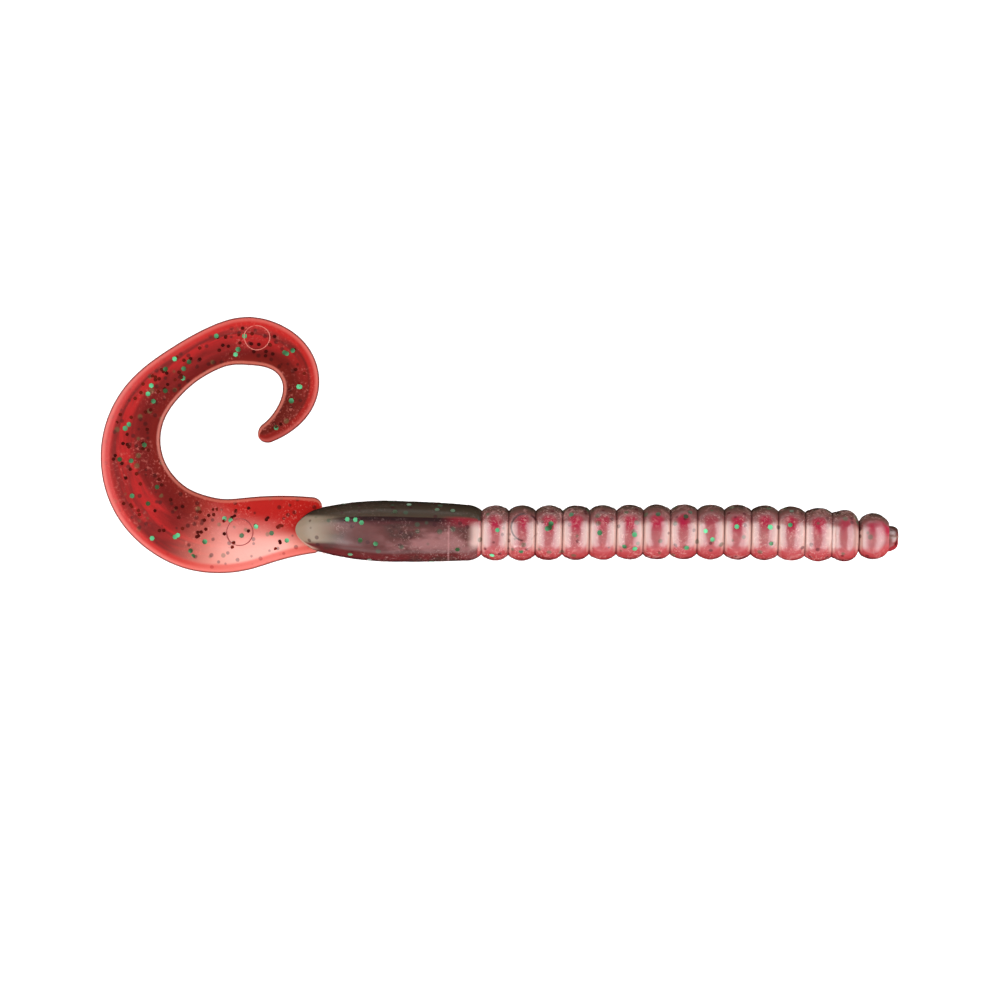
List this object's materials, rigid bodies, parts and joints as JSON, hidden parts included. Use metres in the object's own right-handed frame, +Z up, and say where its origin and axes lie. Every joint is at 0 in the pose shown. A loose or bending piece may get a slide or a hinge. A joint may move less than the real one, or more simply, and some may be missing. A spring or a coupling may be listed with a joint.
{
  "type": "soft plastic worm",
  "caption": "Soft plastic fishing worm with a round head, ribbed flexible body, smooth collar and flat curled tail, rigged on a hook through the nose.",
  "frame": {"origin": "centre of the end face of the nose's cut stub", "axes": "+X out of the nose along the body, so the body runs back along -X; +Z up from the surface it lies on; the tail curls towards +Y"},
  "size_m": [0.1249, 0.0402, 0.0094],
  "materials": {
    "nub_gel": "glossy, cut and slightly rough at the end",
    "rib_gel": "glossy translucent gel, smoke-dark back and red belly",
    "groove_gel": "glossy translucent gel",
    "collar_gel": "glossy translucent gel, smoke-dark back and red belly",
    "tail_gel": "glossy translucent red gel",
    "green_glitter": "metallic",
    "dark_glitter": "metallic"
  },
  "bodies": {
    "collar": {"collar": "collar_gel", "tail_root": "tail_gel", "neck_15": "groove_gel", "tail_web_1": "tail_gel", "green_flakes_collar": "green_glitter"},
    "rib_14": {"rib_14": "rib_gel", "neck_14": "groove_gel"},
    "rib_13": {"rib_13": "rib_gel", "neck_13": "groove_gel"},
    "rib_12": {"rib_12": "rib_gel", "neck_12": "groove_gel"},
    "rib_11": {"rib_11": "rib_gel", "neck_11": "groove_gel"},
    "rib_10": {"rib_10": "rib_gel", "neck_10": "groove_gel"},
    "rib_09": {"rib_09": "rib_gel", "neck_09": "groove_gel"},
    "rib_08": {"rib_08": "rib_gel", "neck_08": "groove_gel"},
    "rib_07": {"rib_07": "rib_gel", "neck_07": "groove_gel"},
    "rib_06": {"rib_06": "rib_gel", "neck_06": "groove_gel"},
    "rib_05": {"rib_05": "rib_gel", "neck_05": "groove_gel"},
    "rib_04": {"rib_04": "rib_gel", "neck_04": "groove_gel"},
    "rib_03": {"rib_03": "rib_gel", "neck_03": "groove_gel"},
    "rib_02": {"rib_02": "rib_gel", "neck_02": "groove_gel"},
    "rib_01": {"rib_01": "rib_gel", "neck_01": "groove_gel"},
    "head": {"nose_nub": "nub_gel", "head_ball": "rib_gel"},
    "tail_1": {"tail_blade_1": "tail_gel", "green_flakes_tail_1": "green_glitter", "dark_flakes_tail_1": "dark_glitter", "tail_web_2": "tail_gel"},
    "tail_2": {"tail_blade_2": "tail_gel", "green_flakes_tail_2": "green_glitter", "dark_flakes_tail_2": "dark_glitter", "tail_web_3": "tail_gel"},
    "tail_3": {"tail_blade_3": "tail_gel", "green_flakes_tail_3": "green_glitter", "dark_flakes_tail_3": "dark_glitter", "tail_web_4": "tail_gel"},
    "tail_4": {"tail_blade_4": "tail_gel", "green_flakes_tail_4": "green_glitter", "dark_flakes_tail_4": "dark_glitter", "tail_web_5": "tail_gel"},
    "tail_5": {"tail_blade_5": "tail_gel", "green_flakes_tail_5": "green_glitter", "dark_flakes_tail_5": "dark_glitter", "tail_web_6": "tail_gel"},
    "tail_6": {"tail_blade_6": "tail_gel", "green_flakes_tail_6": "green_glitter", "dark_flakes_tail_6": "dark_glitter", "tail_web_7": "tail_gel"},
    "tail_7": {"tail_tip": "tail_gel"}
  },
  "joints": [
    {"name": "side_bend_15", "type": "hinge", "parent": "collar", "child": "rib_14", "pos_m": [-0.0651, -0.00042, 0], "axis": [0.01, 0, 0.9999], "range_deg": [-12, 12], "stiffness_Nm_per_rad": 0.03, "deforming": ["neck_15"]},
    {"name": "lift_14", "type": "hinge", "parent": "rib_14", "child": "rib_13", "pos_m": [-0.0609, -0.00036, 0], "axis": [0.006, -0.9999, 0.008], "range_deg": [-12, 12], "stiffness_Nm_per_rad": 0.03, "deforming": ["neck_14"]},
    {"name": "side_bend_13", "type": "hinge", "parent": "rib_13", "child": "rib_12", "pos_m": [-0.0567, -0.00027, 0], "axis": [0.01, 0, 0.9999], "range_deg": [-12, 12], "stiffness_Nm_per_rad": 0.03, "deforming": ["neck_13"]},
    {"name": "lift_12", "type": "hinge", "parent": "rib_12", "child": "rib_11", "pos_m": [-0.0525, -0.00016, 0], "axis": [0.006, 0.9999, 0.008], "range_deg": [-12, 12], "stiffness_Nm_per_rad": 0.03, "deforming": ["neck_12"]},
    {"name": "side_bend_11", "type": "hinge", "parent": "rib_11", "child": "rib_10", "pos_m": [-0.0483, -0.00004, 0], "axis": [0.01, 0, 0.9999], "range_deg": [-12, 12], "stiffness_Nm_per_rad": 0.03, "deforming": ["neck_11"]},
    {"name": "lift_10", "type": "hinge", "parent": "rib_10", "child": "rib_09", "pos_m": [-0.0441, 0.00009, 0], "axis": [0.006, 0.9999, 0.008], "range_deg": [-12, 12], "stiffness_Nm_per_rad": 0.03, "deforming": ["neck_10"]},
    {"name": "side_bend_09", "type": "hinge", "parent": "rib_09", "child": "rib_08", "pos_m": [-0.0399, 0.00021, 0], "axis": [0.01, 0, 0.9999], "range_deg": [-12, 12], "stiffness_Nm_per_rad": 0.03, "deforming": ["neck_09"]},
    {"name": "lift_08", "type": "hinge", "parent": "rib_08", "child": "rib_07", "pos_m": [-0.0357, 0.00031, 0], "axis": [0.006, -0.9999, 0.008], "range_deg": [-12, 12], "stiffness_Nm_per_rad": 0.03, "deforming": ["neck_08"]},
    {"name": "side_bend_07", "type": "hinge", "parent": "rib_07", "child": "rib_06", "pos_m": [-0.0315, 0.00039, 0], "axis": [0.01, 0, -0.9999], "range_deg": [-12, 12], "stiffness_Nm_per_rad": 0.03, "deforming": ["neck_07"]},
    {"name": "lift_06", "type": "hinge", "parent": "rib_06", "child": "rib_05", "pos_m": [-0.0273, 0.00044, 0], "axis": [0.006, -0.9999, 0.008], "range_deg": [-12, 12], "stiffness_Nm_per_rad": 0.03, "deforming": ["neck_06"]},
    {"name": "side_bend_05", "type": "hinge", "parent": "rib_05", "child": "rib_04", "pos_m": [-0.0231, 0.00045, 0], "axis": [0.01, 0, -0.9999], "range_deg": [-12, 12], "stiffness_Nm_per_rad": 0.03, "deforming": ["neck_05"]},
    {"name": "lift_04", "type": "hinge", "parent": "rib_04", "child": "rib_03", "pos_m": [-0.0189, 0.00043, 0], "axis": [0.006, 0.9999, 0.008], "range_deg": [-12, 12], "stiffness_Nm_per_rad": 0.03, "deforming": ["neck_04"]},
    {"name": "side_bend_03", "type": "hinge", "parent": "rib_03", "child": "rib_02", "pos_m": [-0.0147, 0.00037, 0], "axis": [0.01, 0, -0.9999], "range_deg": [-12, 12], "stiffness_Nm_per_rad": 0.03, "deforming": ["neck_03"]},
    {"name": "lift_02", "type": "hinge", "parent": "rib_02", "child": "rib_01", "pos_m": [-0.0105, 0.00029, 0], "axis": [0.006, 0.9999, 0.008], "range_deg": [-12, 12], "stiffness_Nm_per_rad": 0.03, "deforming": ["neck_02"]},
    {"name": "side_bend_01", "type": "hinge", "parent": "rib_01", "child": "head", "pos_m": [-0.0063, 0.00018, 0], "axis": [0.01, 0, -0.9999], "range_deg": [-12, 12], "stiffness_Nm_per_rad": 0.03, "deforming": ["neck_01"]},
    {"name": "flutter_1", "type": "hinge", "parent": "collar", "child": "tail_1", "pos_m": [-0.09697, -0.00024, -0.00077], "axis": [-0.1521, 0.9884, 0], "range_deg": [-20, 20], "stiffness_Nm_per_rad": 0.01, "deforming": ["tail_web_1"]},
    {"name": "curl_2", "type": "hinge", "parent": "tail_1", "child": "tail_2", "pos_m": [-0.1086, -0.00744, -0.00396], "axis": [-0.0099, 0.0013, 1], "range_deg": [-3, 25], "stiffness_Nm_per_rad": 0.01, "deforming": ["tail_web_2"]},
    {"name": "flutter_3", "type": "hinge", "parent": "tail_2", "child": "tail_3", "pos_m": [-0.11725, 0.00358, -0.0041], "axis": [-0.7799, -0.6259, 0], "range_deg": [-20, 20], "stiffness_Nm_per_rad": 0.01, "deforming": ["tail_web_3"]},
    {"name": "curl_4", "type": "hinge", "parent": "tail_3", "child": "tail_4", "pos_m": [-0.12452, 0.01455, -0.0041], "axis": [0.0014, 0.0099, 1], "range_deg": [-3, 25], "stiffness_Nm_per_rad": 0.01, "deforming": ["tail_web_4"]},
    {"name": "flutter_5", "type": "hinge", "parent": "tail_4", "child": "tail_5", "pos_m": [-0.11453, 0.02312, -0.0041], "axis": [0.6593, -0.7518, 0], "range_deg": [-20, 20], "stiffness_Nm_per_rad": 0.01, "deforming": ["tail_web_5"]},
    {"name": "curl_6", "type": "hinge", "parent": "tail_5", "child": "tail_6", "pos_m": [-0.10593, 0.03198, -0.0041], "axis": [0.0097, 0.0024, 1], "range_deg": [-3, 25], "stiffness_Nm_per_rad": 0.01, "deforming": ["tail_web_6"]},
    {"name": "flutter_7", "type": "hinge", "parent": "tail_6", "child": "tail_7", "pos_m": [-0.09503, 0.02576, -0.0041], "axis": [0.8049, 0.5934, 0], "range_deg": [-20, 20], "stiffness_Nm_per_rad": 0.01, "deforming": ["tail_web_7"]}
  ]
}
